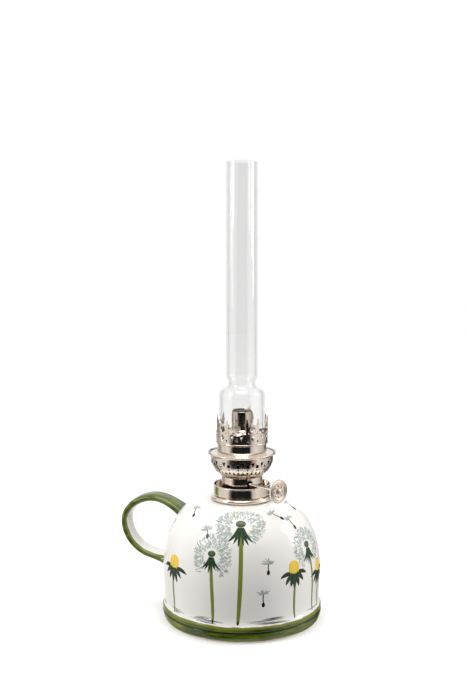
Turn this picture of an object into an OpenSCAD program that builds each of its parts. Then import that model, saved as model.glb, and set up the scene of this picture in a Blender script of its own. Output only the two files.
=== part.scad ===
// Table oil lamp: a ceramic font with one strap handle, a nickel-plated round-wick burner
// and a tall glass chimney. Millimetres, +Z up, origin at the centre of the foot, handle
// towards -X. The burner's mechanism is drawn in its own frame: +X along the key shaft.

/* [Font] */
// Largest radius of the ceramic body
font_r = 59.5; // [56:0.5:75]
// Height of the body, from the foot to the flat top that carries the burner
font_h = 90.3; // [80:0.1:125]
// Wall thickness of the body
font_wall = 5; // [3.5:0.1:7]
// Width of the flat ring left round the collar's flange
top_margin = 4; // [2:0.5:8]
// Vertical rise of the rounded shoulder
shoulder_rise = 51; // [35:0.5:55]
// How far the waist above the foot band sits inside the largest radius
waist_tuck = 0.8; // [0:0.1:2]
// Height of the glazed foot band
band_h = 12.4; // [9:0.1:15]
// How far the foot band stands proud of the body
band_proud = 0.6; // [0.2:0.1:1.5]
// Width of the flat ring that the lamp stands on
foot_ring_w = 6; // [4:0.5:9]
// Depth of the recess inside the foot ring
foot_recess = 1.2; // [0.5:0.1:1.8]
// Thickness of the font's floor
font_floor = 5.3; // [4:0.1:8]

/* [Handle] */
// Reach of the handle's middle line beyond the body
handle_reach = 33.2; // [28:0.1:45]
// Width of the strap
strap_w = 17.5; // [12:0.5:22]
// Thickness of the strap
strap_t = 6.2; // [5:0.1:8]
// Height of the middle line's top below the top of the body
handle_drop = 3.3; // [3:0.1:8]
// Extra width of the strap where it is luted to the body, as a share of its width
root_flare = 0.3; // [0:0.05:0.5]

/* [Collar] */
// How far the collar's flange reaches beyond the burner's cup
flange_over = 2.1; // [1:0.1:4]
// Thickness of the collar's flange
flange_t = 3.1; // [2.5:0.1:4]
// How far the collar's bore, which takes the burner, stands outside the neck
bore_over = 0.3; // [0.2:0.05:1]
// Wall thickness of the collar's sleeve
collar_wall = 1.1; // [0.8:0.1:1.5]
// Length of the collar's sleeve below its flange
collar_sleeve = 9.5; // [8:0.5:14]
// Thickness of the plaster between the collar and the font
cement_t = 1.4; // [1:0.1:2]

/* [Burner body] */
// How far the burner's cup reaches beyond the neck
cup_over = 5.8; // [4.5:0.1:8]
// Gap between the cup's rolled rim and the key shaft
rim_gap = 1.15; // [0.6:0.05:3]
// How far the neck's outside stands from the wick's housing
neck_over = 2.4; // [2:0.1:4]
// Height of the neck above the collar
neck_h = 15; // [13:0.1:20]
// Thickness of the sheet metal that the burner is drawn from
sheet_t = 0.5; // [0.4:0.05:0.7]
// Length of the threaded spigot below the cup
spigot_len = 10; // [7:0.5:12]

/* [Air basket] */
// How far the basket, at its widest, reaches beyond the neck
basket_over = 8.2; // [7:0.1:12]
// How far the lip reaches beyond the basket
lip_over = 2.2; // [1.2:0.1:4]
// Height of the basket, from its seat on the neck to the lip
basket_h = 17.6; // [14.5:0.1:22]
// How many times the pierced pattern repeats round the basket
basket_repeats = 20; // [16:1:22]

/* [Gallery and crown] */
// How far the gallery's sleeve stands outside the chimney
gallery_over = 1.4; // [1:0.1:2.5]
// Height of the gallery's top above the basket's lip
gallery_rise = 8.4; // [7:0.1:12]
// Height of the crown's solid band
crown_band_h = 7.6; // [6.5:0.1:9]
// Height of the crown's spear tips above the gallery
spear_h = 19; // [16:0.5:22]
// How many lobes the crown has
crown_lobes = 5; // [4:1:5]

/* [Wick and tubes] */
// Outer radius of the wick tube
wick_tube_r = 7.65; // [6.5:0.05:9.2]
// Height of the wick tube above the gallery
wick_tube_rise = 22.3; // [18:0.1:30]
// Thickness of the cotton wick
wick_t = 1.5; // [1.2:0.05:1.8]
// Clearance between the wick and the tubes
wick_gap = 0.25; // [0.2:0.05:0.4]
// Angle left open between the two edges of the wick
wick_open = 60; // [50:1:80]
// Height of the wick above its tube
wick_proud = 0.7; // [0:0.1:2]
// Height of the wick's lower end above the foot
wick_low = 20; // [18:1:40]
// Furthest that the wick rises from where it is drawn
wick_up = 4; // [2:0.5:4]

/* [Key] */
// Direction of the key shaft, from +X
key_angle = -32; // [-60:1:0]
// Distance of the key shaft from the burner's axis
key_offset = 5.5; // [5:0.1:6]
// Radius of the key shaft
shaft_r = 1.15; // [0.9:0.05:1.3]
// Distance of the key wheel along its shaft
key_reach = 43.8; // [36:0.1:50]
// Radius of the key wheel
key_wheel_r = 8.75; // [7:0.25:9.5]
// Radius of the wick feed wheels, over their teeth
feed_r = 3.3; // [3:0.1:3.4]

/* [Chimney] */
// Outer radius of the chimney's base
base_r = 17.2; // [15:0.1:20]
// Outer radius of the chimney's tube at its foot
tube_r = 11.8; // [10:0.1:13]
// How far the constriction is drawn in from the tube
choke_tuck = 1.7; // [0.8:0.1:2.6]
// How much the tube narrows to its top
tube_taper = 0.35; // [0:0.05:1]
// Glass wall thickness
glass_t = 1.3; // [1:0.1:1.6]
// Height of the constriction above the chimney's foot
choke_h = 43.3; // [38:0.1:60]
// Height of the whole chimney
chimney_h = 206; // [150:1:260]

/* [Hidden] */
$fn = 96;

// Running clearance of parts that turn or lift out, and the gap under parts that only rest
run_fit = 0.06;
rest_gap = 0.05;
// Depth that a cutting tool runs past the surface it cuts
past = 1;

// Levels, from the foot up
shoulder_z = font_h - shoulder_rise;
collar_top_z = font_h + flange_t;
cup_z = collar_top_z + rest_gap;
cup_sheet = 0.8;
plate_z = cup_z + cup_sheet;
plate_t = 0.8;
neck_top_z = collar_top_z + neck_h;
basket_z = neck_top_z;
lip_z = basket_z + basket_h;
gallery_z = lip_z + gallery_rise;
cone_top_z = gallery_z - 0.4;
tube_top_z = gallery_z + wick_tube_rise;
shaft_z = neck_top_z - 4.35;
cup_h = shaft_z - shaft_r - rim_gap - cup_z;
chimney_z = gallery_z + sheet_t + rest_gap;

// The wick: a split ring in its tube, a flat-fronted U at the feed wheels
tube_in_r = wick_tube_r - 0.45;
wick_out_r = tube_in_r - wick_gap;
wick_mid_r = wick_out_r - wick_t / 2;
wick_in_r = wick_out_r - wick_t;
air_tube_r = wick_in_r - wick_gap - 0.1;
air_tube_wall = 0.4;
wick_len = 2 * PI * wick_mid_r * (360 - wick_open) / 360;
feed_wick_y = -key_offset + feed_r + 0.2;
u_front_y = feed_wick_y + wick_t / 2;
u_flat = 0.382 * wick_len / 2;
u_corner = 1.5;
corner_len = u_corner * PI / 2;
u_arm = wick_len / 2 - u_flat - corner_len;
// The front and the two arms bow a little, as woven cotton does
u_bow = 0.1;
u_reach = norm([u_flat + u_corner + u_bow + wick_t / 2, u_front_y + u_corner + u_arm]);

// Radii that follow from their neighbours
housing_wall = 0.45;
housing_r = u_reach + 1.1 + housing_wall;
neck_r = housing_r + neck_over;
neck_in_r = neck_r - 0.6;
cup_r = neck_r + cup_over;
flange_r = cup_r + flange_over;
collar_bore_r = neck_r + bore_over;
spigot_r = collar_bore_r - run_fit;
cement_in_r = collar_bore_r + collar_wall;
font_mouth_r = cement_in_r + cement_t;
basket_r = neck_r + basket_over;
lip_r = basket_r + lip_over;
gallery_r = base_r + gallery_over;
crown_in_r = gallery_r + 0.4;
crown_t = 0.5;
choke_r = tube_r - choke_tuck;
flat_r = flange_r + top_margin;
shoulder_run = font_r - flat_r;
band_r = font_r + band_proud;
foot_r = band_r - 2.3;

// Points along an arc, the centre and both half-axes given
function arc(c, rx, ry, a0, a1, n) =
    [for (i = [0:n]) let (a = a0 + (a1 - a0) * i / n) [c[0] + rx * cos(a), c[1] + ry * sin(a)]];
function reversed(list) = [for (i = [len(list) - 1:-1:0]) list[i]];

// ---------- font ----------

// Outline of the body's outside, from the foot ring up to the edge of its flat top
waist_z = band_h + 5;
wall_steps = 8;
function wall_r(z) = font_r - waist_tuck * pow(cos(90 * (z - waist_z) / (shoulder_z - waist_z)), 2);
groove_z = band_h * 0.63;
function font_outside() = concat(
    [[foot_r - 0.6, 0]],
    arc([band_r - 3.1, groove_z - 0.4], 3.1, groove_z - 0.8, -74, 0, 8),
    arc([band_r - 0.9, (groove_z + band_h) / 2], 0.9, (band_h - groove_z) / 2, -85, 85, 10),
    [for (i = [0:wall_steps - 1]) let (z = waist_z + (shoulder_z - waist_z) * i / wall_steps) [wall_r(z), z]],
    arc([flat_r, shoulder_z], shoulder_run, shoulder_rise, 0, 90, 28));

function font_inside() = concat(
    arc([flat_r, shoulder_z], shoulder_run - font_wall, shoulder_rise - font_wall, 90, 0, 20),
    arc([font_r - waist_tuck - font_wall - 9, foot_recess + font_floor + 9], 9, 9, 0, -90, 8));

module font_solid() {
    rotate_extrude() polygon(concat([[0, 0]], font_outside(), [[0, font_h]]));
}

module font() {
    color("ivory") rotate_extrude() polygon(concat(
        [[0, foot_recess], [foot_r - foot_ring_w, foot_recess], [foot_r - foot_ring_w, 0]],
        font_outside(),
        [[font_mouth_r, font_h], [font_mouth_r, font_h - font_wall]],
        font_inside(),
        [[0, foot_recess + font_floor]]));
}

// ---------- handle ----------

// The strap's middle line, as four Bezier spans in the plane through the burner's axis
handle_r = font_r + handle_reach;
function dome_z(r) = shoulder_z + shoulder_rise * sqrt(1 - pow((r - flat_r) / shoulder_run, 2));
root_z = dome_z(font_r - 15) - 6.2;
handle_top_z = font_h - handle_drop;
handle_out_z = font_h - 22.4;
function bezier(p, t) = pow(1 - t, 3) * p[0] + 3 * t * pow(1 - t, 2) * p[1]
    + 3 * t * t * (1 - t) * p[2] + t * t * t * p[3];
handle_spans = [
    [[font_r - 15, root_z], [font_r - 9, root_z + 3.4], [font_r - 1, handle_top_z],
        [font_r + 10, handle_top_z]],
    [[font_r + 10, handle_top_z], [handle_r - 11.5, handle_top_z], [handle_r, handle_out_z + 10.5],
        [handle_r, handle_out_z]],
    [[handle_r, handle_out_z], [handle_r, handle_out_z - 10.5], [handle_r - 7, handle_out_z - 20],
        [handle_r - 17.5, handle_out_z - 24.4]],
    [[handle_r - 17.5, handle_out_z - 24.4], [font_r + 8.5, handle_out_z - 26.7],
        [font_r + 2, handle_out_z - 28], [font_r - 4.5, handle_out_z - 28.8]]];
span_steps = 9;
handle_path = concat([for (s = [0:3], i = [0:span_steps - 1]) bezier(handle_spans[s], i / span_steps)],
    [handle_spans[3][3]]);
section_sides = 16;

function unit(v) = v / norm(v);
function path_dir(i) = unit(handle_path[min(i + 1, len(handle_path) - 1)] - handle_path[max(i - 1, 0)]);
// The strap widens over the first and last few rings
function flare(i) = 1 + root_flare * pow(max(0, 1 - min(i, len(handle_path) - 1 - i) / 9), 2);
function strap_ring(i) = let (p = handle_path[i], d = path_dir(i))
    [for (k = [0:section_sides - 1]) let (a = 360 * k / section_sides,
        across = strap_w / 2 * flare(i) * sign(cos(a)) * pow(abs(cos(a)), 0.75),
        out = strap_t / 2 * flare(i) * sin(a))
        [-(p[0] - d[1] * out), across, p[1] + d[0] * out]];

// Closes a row of rings into a solid; cap lists the faces that close one ring
module ring_sweep(rings, cap) {
    sides = len(rings[0]);
    last = len(rings) - 1;
    polyhedron(
        points = [for (ring = rings, p = ring) p],
        faces = concat(
            cap,
            [for (i = [0:last - 1], k = [0:sides - 1]) let (n = (k + 1) % sides)
                [i * sides + k, (i + 1) * sides + k, (i + 1) * sides + n, i * sides + n]],
            [for (face = cap) [for (k = reversed(face)) last * sides + k]]),
        convexity = 6);
}

module handle() {
    color("olivedrab") difference() {
        ring_sweep([for (i = [0:len(handle_path) - 1]) strap_ring(i)], [[for (k = [0:section_sides - 1]) k]]);
        font_solid();
    }
}

// ---------- collar ----------

module tube(r_out, r_in, z0, z1) {
    rotate_extrude() polygon([[r_in, z0], [r_out, z0], [r_out, z1], [r_in, z1]]);
}

module collar_cement() {
    color("whitesmoke") tube(font_mouth_r, cement_in_r, font_h - font_wall, font_h);
}

module collar() {
    bead = flange_t / 2;
    color("silver") rotate_extrude() polygon(concat(
        [[collar_bore_r, font_h - collar_sleeve], [cement_in_r, font_h - collar_sleeve], [cement_in_r, font_h]],
        arc([flange_r - bead, font_h + bead], bead, bead, -90, 90, 12),
        [[collar_bore_r, collar_top_z]]));
}

// ---------- burner body ----------

module burner_cup() {
    roll = 0.55;
    plate_seat_r = spigot_r - 2.4;
    color("silver") rotate_extrude() polygon(concat(
        [[spigot_r - 1, cup_z - spigot_len], [spigot_r, cup_z - spigot_len], [spigot_r, cup_z],
            [cup_r - 1, cup_z], [cup_r, cup_z + 1]],
        arc([cup_r - 0.15, cup_z + cup_h - roll], roll, roll, -30, 180, 14),
        [[cup_r - sheet_t, cup_z + cup_h - 2 * roll], [cup_r - sheet_t, plate_z], [plate_seat_r, plate_z],
            [plate_seat_r, cup_z], [spigot_r - 1, cup_z]]));
}

// Everything below is placed in the mechanism's frame, turned to the key shaft
module in_key_frame() {
    rotate(key_angle) children();
}

module slot_2d(w, h) {
    translate([0, (h - w) / 2]) circle(d = w);
    translate([0, -(h - w) / 2]) circle(d = w);
    translate([-w / 2, -(h - w) / 2]) square([w, h - w]);
}

module burner_neck() {
    color("silver") difference() {
        rotate_extrude() polygon([[neck_in_r, plate_z], [neck_r, plate_z], [neck_r, neck_top_z - sheet_t],
            [neck_r - sheet_t, neck_top_z], [housing_r + run_fit, neck_top_z],
            [housing_r + run_fit, neck_top_z - sheet_t], [neck_in_r, neck_top_z - sheet_t]]);
        in_key_frame() translate([neck_in_r / 2, -key_offset, shaft_z]) rotate([90, 0, 90])
            linear_extrude(neck_r) slot_2d(4.2, 5.2);
    }
}

// ---------- wick ----------

// Both shapes are drawn by the distance along the ribbon from its middle
function ring_point(s) = let (a = -90 + s / wick_mid_r * 180 / PI) [wick_mid_r * cos(a), wick_mid_r * sin(a)];
function ring_normal(s) = ring_point(s) / wick_mid_r;
function u_turn(s) = min(90, max(0, abs(s) - u_flat) / u_corner * 180 / PI);
function u_point(s) = let (q = u_turn(s), arm = max(0, abs(s) - u_flat - corner_len),
    front_bow = u_bow * cos(90 * min(1, abs(s) / u_flat)), arm_bow = u_bow * sin(20 * arm))
    [sign(s) * (min(abs(s), u_flat) + u_corner * sin(q) + arm_bow),
        u_front_y + u_corner * (1 - cos(q)) + arm + front_bow];
function u_normal(s) = let (q = u_turn(s)) [sign(s) * sin(q), -cos(q)];
// Share of the way from the U to the ring, and the side of the ribbon
function ribbon_point(s, share, side) =
    (1 - share) * u_point(s) + share * ring_point(s)
    + side * unit((1 - share) * u_normal(s) + share * ring_normal(s));
ribbon_steps = 24;
function ribbon_2d(share, half_t, half_len) = concat(
    [for (i = [0:ribbon_steps]) ribbon_point(half_len * (2 * i / ribbon_steps - 1), share, half_t)],
    [for (i = [ribbon_steps:-1:0]) ribbon_point(half_len * (2 * i / ribbon_steps - 1), share, -half_t)]);

// The ribbon turns from U to ring in the open space of the housing's cone
loft_top_z = cone_top_z - wick_up - 0.5;
loft_h = 8.5;
loft_steps = 4;

module wick() {
    levels = concat([[wick_low, 0]],
        [for (i = [0:loft_steps]) [loft_top_z - loft_h * (1 - i / loft_steps), i / loft_steps]],
        [[tube_top_z + wick_proud, 1]]);
    sides = 2 * ribbon_steps + 2;
    color("beige") in_key_frame() ring_sweep(
        [for (l = levels) [for (p = reversed(ribbon_2d(l[1], wick_t / 2, wick_len / 2))) [p[0], p[1], l[0]]]],
        [for (k = [0:ribbon_steps - 1]) [k, k + 1, sides - 2 - k, sides - 1 - k]]);
}

module burner_plate() {
    clear = 0.4;
    color("silver") in_key_frame() difference() {
        translate([0, 0, plate_z]) cylinder(r = neck_in_r - 0.05, h = plate_t);
        translate([0, 0, plate_z - past]) linear_extrude(plate_t + 2 * past)
            polygon(ribbon_2d(0, wick_t / 2 + clear, wick_len / 2 + clear));
    }
}

// ---------- wick feed ----------

ear_t = 0.8;
ear_w = 5.2;
ear_x = sqrt(pow(neck_in_r - 0.6, 2) - pow(key_offset + ear_w / 2, 2)) - ear_t / 2;

module shaft_bracket() {
    ear_h = shaft_z + 2.6 - plate_z - plate_t;
    ear_y0 = -key_offset - ear_w / 2;
    color("goldenrod") in_key_frame() difference() {
        for (side = [-1, 1]) {
            translate([side * ear_x - ear_t / 2, ear_y0, plate_z + plate_t]) cube([ear_t, ear_w, ear_h]);
            translate([side * (ear_x + ear_t / 2) - 1, ear_y0, plate_z + plate_t]) cube([2, ear_w, 0.6]);
        }
        translate([-ear_x - past, -key_offset, shaft_z]) rotate([0, 90, 0])
            cylinder(r = shaft_r + run_fit, h = 2 * (ear_x + past));
    }
}

module wick_guide() {
    guide_y = feed_wick_y + wick_t + wick_gap;
    guide_w = 1.8 * u_flat;
    color("goldenrod") in_key_frame() union() {
        translate([-guide_w / 2, guide_y, plate_z + plate_t]) cube([guide_w, 0.8, shaft_z + 5 - plate_z - plate_t]);
        translate([-guide_w / 2, guide_y, plate_z + plate_t]) cube([guide_w, 4, 0.6]);
    }
}

// ---------- air basket ----------

// The bowl is an elliptical arc that ends upright under the lip
bowl_top_z = lip_z - 3.4;
bowl_foot_a = -52;
bowl_foot_rise = 1.3;
bowl_rx = (basket_over - 1.9) / (1 - cos(bowl_foot_a));
bowl_rz = (bowl_top_z - basket_z - bowl_foot_rise) / -sin(bowl_foot_a);
// Direction of the first pierced arch
pierce_angle = 8;

// A flat outline cut straight outwards at a height and a direction
module radial_cut(angle, z, from_r) {
    rotate(angle) translate([from_r, 0, z]) rotate([90, 0, 90]) linear_extrude(15) children();
}

// Pierced at a share of the basket's height
module pierce(turn, share) {
    radial_cut(pierce_angle + turn * 360 / basket_repeats, basket_z + share * basket_h, neck_r + 1) children();
}

module basket_piercing() {
    for (i = [0:basket_repeats - 1]) {
        pierce(i, 0.585) {
            circle(r = 1.25);
            translate([-1.25, -1.2]) square([2.5, 1.2]);
        }
        pierce(i, 0.426) circle(r = 0.6, $fn = 24);
        pierce(i, 0.284) circle(r = 0.8, $fn = 24);
        pierce(i + 0.5, 0.648) polygon([[-1.5, 1.7], [1.5, 1.7], [0, -1.9]]);
        pierce(i + 0.5, 0.273) polygon([[-1.2, -1.1], [1.2, -1.1], [0, 1.3]]);
    }
}

module air_basket() {
    bowl = [basket_r - bowl_rx, bowl_top_z];
    lip_roll = 0.4;
    color("silver") difference() {
        rotate_extrude() polygon(concat(
            [[housing_r + run_fit, basket_z], [neck_r + 0.3, basket_z], [neck_r + 0.8, basket_z + 0.6]],
            arc(bowl, bowl_rx, bowl_rz, bowl_foot_a, 0, 14),
            [[basket_r + 0.3, bowl_top_z + 1.4], [lip_r - lip_roll, lip_z - 2 * lip_roll]],
            arc([lip_r - lip_roll, lip_z - lip_roll], lip_roll, lip_roll, -80, 100, 8),
            [[basket_r - 0.3, bowl_top_z + 1.9]],
            arc(bowl, bowl_rx - sheet_t, bowl_rz - sheet_t, 0, bowl_foot_a, 14),
            [[neck_r + 0.2, basket_z + sheet_t + 0.6], [neck_r - 0.2, basket_z + sheet_t],
                [housing_r + run_fit, basket_z + sheet_t]]));
        basket_piercing();
    }
}

// ---------- gallery, crown and deflector ----------

module gallery() {
    bead = 0.85;
    dish_z = bowl_top_z + 1.6;
    dish_r = basket_r - 0.35;
    in_r = gallery_r - sheet_t;
    foot_z = dish_z - 2.4;
    color("silver") rotate_extrude() polygon(concat(
        [[in_r, foot_z], [gallery_r + 0.3, foot_z], [dish_r - 0.5, dish_z], [dish_r, dish_z + 0.4],
            [dish_r + 0.2, dish_z + 0.9], [gallery_r, foot_z + sheet_t + 0.1]],
        arc([gallery_r + 0.3, gallery_z - bead], bead, bead, -110, 90, 12),
        [[in_r, gallery_z]]));
}

// The crown's outlines are drawn flat, across and up from its foot, and cut through an upright
// ring: a solid band, then in turn a lobe between two spears and an open dip
crown_sector = 180 / crown_lobes;
lobe_z = crown_band_h + 3.2;
spear_x = crown_in_r * sin(13.7);
// The first lobe faces this way
crown_angle = -50;

module on_crown(turn) {
    radial_cut(crown_angle + 2 * turn * crown_sector, gallery_z, crown_in_r - 6) children();
}

module prongs_2d() {
    foot = crown_band_h - 1;
    translate([0, lobe_z]) circle(r = 4);
    translate([-2, foot]) square([4, 1.5]);
    for (side = [-1, 1]) translate([side * spear_x, 0]) polygon([[-0.8, foot], [0.8, foot],
        [0.7, crown_band_h + 4.2], [1.25, crown_band_h + 6.4], [0.25, spear_h], [-0.25, spear_h],
        [-1.25, crown_band_h + 6.4], [-0.7, crown_band_h + 4.2]]);
}

module lobe_holes_2d() {
    translate([0, lobe_z]) circle(r = 2.3);
    polygon([[0, crown_band_h - 0.5], [1.7, 4.4], [0, 1.6], [-1.7, 4.4]]);
    for (side = [-1, 1]) translate([side * spear_x * 0.85, 2.3]) circle(r = 0.8);
}

module dip_holes_2d() {
    translate([0, crown_band_h + 4.4]) circle(r = 5.6);
    polygon([[0, 5.2], [1.4, 3.5], [0, 1.5], [-1.4, 3.5]]);
    for (side = [-1, 1]) translate([side * 3.4, 4.4]) polygon([[-1, 1.2], [1, 1.6], [0, -1.6]]);
}

module crown() {
    color("silver") difference() {
        intersection() {
            tube(crown_in_r + crown_t, crown_in_r, gallery_z, gallery_z + spear_h + past);
            union() {
                translate([0, 0, gallery_z - past]) cylinder(r = crown_in_r + 3, h = crown_band_h + past);
                for (i = [0:crown_lobes - 1]) on_crown(i) prongs_2d();
            }
        }
        for (i = [0:crown_lobes - 1]) {
            on_crown(i) lobe_holes_2d();
            on_crown(i + 0.5) dip_holes_2d();
        }
    }
}

module air_deflector() {
    dome_r = base_r - glass_t - 0.7;
    dome_h = 7.4;
    hub_r = wick_tube_r + run_fit;
    color("silver") difference() {
        rotate_extrude() polygon(concat(
            [[crown_in_r - 0.1, gallery_z], [crown_in_r - 0.1, gallery_z + sheet_t]],
            arc([hub_r + sheet_t, gallery_z + sheet_t], dome_r - hub_r - sheet_t, dome_h, 0, 84, 7),
            [[hub_r + sheet_t, gallery_z + dome_h + 1.3], [hub_r, gallery_z + dome_h + 1.3]],
            [[hub_r, gallery_z + dome_h - sheet_t]],
            arc([hub_r + sheet_t, gallery_z], dome_r - hub_r - 2 * sheet_t, dome_h - sheet_t, 84, 0, 7)));
        for (i = [0:15]) rotate(i * 22.5) translate([hub_r + 0.9, 0, gallery_z + 3.2]) rotate([0, 90, 0])
            cylinder(r = 0.95, h = 30, $fn = 24);
        for (i = [0:9]) rotate(i * 36) translate([(hub_r + dome_r) / 2, 0, gallery_z + past]) cylinder(r = 0.9, h = 20, $fn = 24);
    }
}

// ---------- wick tube and inner air tube ----------

duct_w = 2 * (wick_in_r * sin(wick_open / 2) - 0.5);
duct_z = cone_top_z + duct_w / 2 + 0.9;
// Where the narrow slot in the front of the wick tube faces, in the mechanism's frame
slot_angle = -102 - key_angle;
slot_z = gallery_z + 9.6;

module wick_tube() {
    cone_z = cone_top_z - 8.4;
    color("silver") in_key_frame() {
        difference() {
            rotate_extrude() polygon([[housing_r - housing_wall, neck_top_z - 1.2], [housing_r, neck_top_z - 1.2],
                [housing_r, cone_z], [wick_tube_r, cone_top_z], [wick_tube_r, tube_top_z - 0.15],
                [wick_tube_r - 0.15, tube_top_z], [tube_in_r + 0.1, tube_top_z], [tube_in_r, tube_top_z - 0.1],
                [tube_in_r, cone_top_z], [housing_r - housing_wall, cone_z]]);
            translate([-duct_w / 2, 0, duct_z - duct_w / 2]) cube([duct_w, 2 * wick_tube_r, duct_w]);
            rotate(slot_angle) translate([wick_mid_r, -2.5, slot_z]) cube([wick_tube_r, 5, 2]);
        }
        rotate(slot_angle) difference() {
            translate([tube_in_r, -2.5, slot_z - 0.5]) cube([1.2, 5, 0.5]);
            translate([0, 0, slot_z - past]) cylinder(r = tube_in_r + 0.2, h = 2 * past);
        }
    }
}

module air_tube() {
    z0 = cone_top_z + 0.3;
    z1 = tube_top_z - 1.4;
    color("silver") in_key_frame() difference() {
        translate([0, 0, z0]) cylinder(r = air_tube_r, h = z1 - z0);
        translate([0, 0, z0 + sheet_t]) cylinder(r = air_tube_r - air_tube_wall, h = z1 - z0);
        translate([-duct_w / 2, 0, duct_z - duct_w / 2]) cube([duct_w, 2 * air_tube_r, duct_w]);
    }
}

// The duct is soldered into both tubes and passes between the wick's edges
module air_duct() {
    wall = 0.3;
    inner = duct_w - 2 * wall;
    color("silver") in_key_frame() difference() {
        translate([-duct_w / 2, 0, duct_z - duct_w / 2]) cube([duct_w, 2 * wick_tube_r, duct_w]);
        translate([-inner / 2, 0, duct_z - inner / 2]) cube([inner, 3 * wick_tube_r, inner]);
        translate([0, 0, duct_z - duct_w]) cylinder(r = air_tube_r - air_tube_wall, h = 2 * duct_w);
        translate([0, 0, duct_z]) rotate_extrude()
            translate([wick_tube_r, -duct_w]) square([wick_tube_r * 2, 2 * duct_w]);
    }
}

// ---------- key ----------

module on_shaft(x) {
    in_key_frame() translate([x, -key_offset, shaft_z]) rotate([0, 90, 0]) children();
}

key_wheel_t = 1.3;
shaft_end = key_reach + key_wheel_t + 0.5;
wheel_bore_r = shaft_r + 0.01;

module key_shaft() {
    color("silver") on_shaft(-ear_x - 1.4) cylinder(r = shaft_r, h = shaft_end + ear_x + 1.4);
}

// Teeth round a wheel, as alternating tip and root points
function toothed(n, r, depth) = [for (i = [0:2 * n - 1]) let (q = i % 2 == 0 ? r : r - depth, a = 180 * i / n)
    [q * cos(a), q * sin(a)]];

module feed_wheels() {
    wheel_t = 1.2;
    color("goldenrod") for (x = [-0.68, 0.68] * u_flat) on_shaft(x - wheel_t / 2) linear_extrude(wheel_t) difference() {
        polygon(toothed(12, feed_r, 0.9));
        circle(r = wheel_bore_r);
    }
}

module key_wheel() {
    rim_r = key_wheel_r - 0.9;
    ridge_r = key_wheel_r - 2.6;
    petal_r = 0.85;
    color("silver") on_shaft(key_reach) {
        difference() {
            linear_extrude(key_wheel_t - 0.1) polygon(toothed(48, key_wheel_r, 0.3));
            translate([0, 0, -past]) cylinder(r = rim_r, h = key_wheel_t + 2 * past);
        }
        rotate_extrude() polygon(concat(
            [[wheel_bore_r, 0], [rim_r, 0]],
            arc([rim_r - 0.5, key_wheel_t], 0.5, 0.5, 0, 180, 8),
            arc([ridge_r, key_wheel_t], 0.5, 0.5, 0, 180, 8),
            [[ridge_r - 1, key_wheel_t - 0.3], [wheel_bore_r, key_wheel_t - 0.3]]));
        for (i = [0:7]) rotate(i * 45) translate([ridge_r - 2, 0, key_wheel_t - 0.3])
            rotate_extrude($fn = 32) polygon(concat([[0, 0]], arc([0, 0], petal_r, petal_r * 0.7, 0, 90, 6)));
    }
}

// The shaft's end is spread over the wheel into a domed rivet head
module key_rivet() {
    head_r = 2;
    color("silver") on_shaft(key_reach + key_wheel_t) difference() {
        intersection() {
            translate([0, 0, -0.9]) sphere(r = head_r + 0.4);
            translate([0, 0, 0.02]) cylinder(r = head_r, h = 3);
        }
        translate([0, 0, -past]) cylinder(r = wheel_bore_r, h = past + 0.51);
    }
}

// ---------- chimney ----------

// Outline of the glass, pushed inwards by a distance: base, rounded shoulder, choke and tube
base_arc = 0.845 * (base_r - choke_r);
choke_arc = 0.563 * (base_r - choke_r);
function glass_line(in) = concat(
    arc([base_r - base_arc, choke_h - 0.95 * (base_arc + choke_arc)], base_arc - in, base_arc - in, 0, 70, 12),
    arc([choke_r + choke_arc, choke_h], choke_arc + in, choke_arc + in, 250, 140, 16),
    arc([tube_r - 3, choke_h + 4.7], 3 - in, 3 - in, -40, 0, 8));

module chimney() {
    lip = glass_t / 2;
    top_r = tube_r - tube_taper;
    color("lightcyan", 0.4) translate([0, 0, chimney_z]) rotate_extrude() polygon(concat(
        arc([base_r - lip, lip], lip, lip, -180, 0, 10),
        glass_line(0),
        arc([top_r - lip, chimney_h - lip], lip, lip, 0, 180, 10),
        reversed(glass_line(glass_t))));
}

font();
handle();
collar_cement();
collar();
burner_cup();
burner_neck();
burner_plate();
shaft_bracket();
wick_guide();
air_basket();
gallery();
crown();
air_deflector();
wick_tube();
air_tube();
air_duct();
key_shaft();
feed_wheels();
key_wheel();
key_rivet();
wick();
chimney();
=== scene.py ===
import math
import random

import bpy
from bpy.props import FloatProperty, FloatVectorProperty, IntProperty, PointerProperty
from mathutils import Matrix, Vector


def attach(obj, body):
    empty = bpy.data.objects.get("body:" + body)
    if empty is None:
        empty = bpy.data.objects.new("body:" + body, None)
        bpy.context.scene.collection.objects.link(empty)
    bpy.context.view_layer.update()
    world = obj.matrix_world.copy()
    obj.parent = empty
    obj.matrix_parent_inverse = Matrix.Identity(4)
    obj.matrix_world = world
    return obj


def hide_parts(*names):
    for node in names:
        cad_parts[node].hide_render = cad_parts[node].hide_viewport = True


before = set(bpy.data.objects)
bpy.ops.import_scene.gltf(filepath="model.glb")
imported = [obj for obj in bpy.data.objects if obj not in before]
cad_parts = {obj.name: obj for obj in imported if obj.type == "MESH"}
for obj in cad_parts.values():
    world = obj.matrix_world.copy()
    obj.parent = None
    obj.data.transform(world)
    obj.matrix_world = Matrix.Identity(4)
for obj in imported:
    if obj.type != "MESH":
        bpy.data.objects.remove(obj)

bl_info = {
    "name": "Oil lamp",
    "version": (1, 0, 0),
    "blender": (4, 5, 0),
    "location": "View3D > Sidebar > Oil lamp",
    "description": "Finishes and painted decoration of a ceramic table oil lamp",
    "category": "Object",
}

MM = 0.001


# ---------------------------------------------------------------- meshes

def new_piece(name, points, faces, body):
    """A smooth mesh object from points in millimetres, riding on one of the lamp's bodies."""
    mesh = bpy.data.meshes.new(name)
    mesh.from_pydata([(x * MM, y * MM, z * MM) for x, y, z in points], [], faces)
    mesh.validate()
    mesh.polygons.foreach_set("use_smooth", [True] * len(mesh.polygons))
    mesh.update()
    piece = bpy.data.objects.new(name, mesh)
    bpy.context.scene.collection.objects.link(piece)
    if body:
        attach(piece, body)
    return piece


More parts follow.
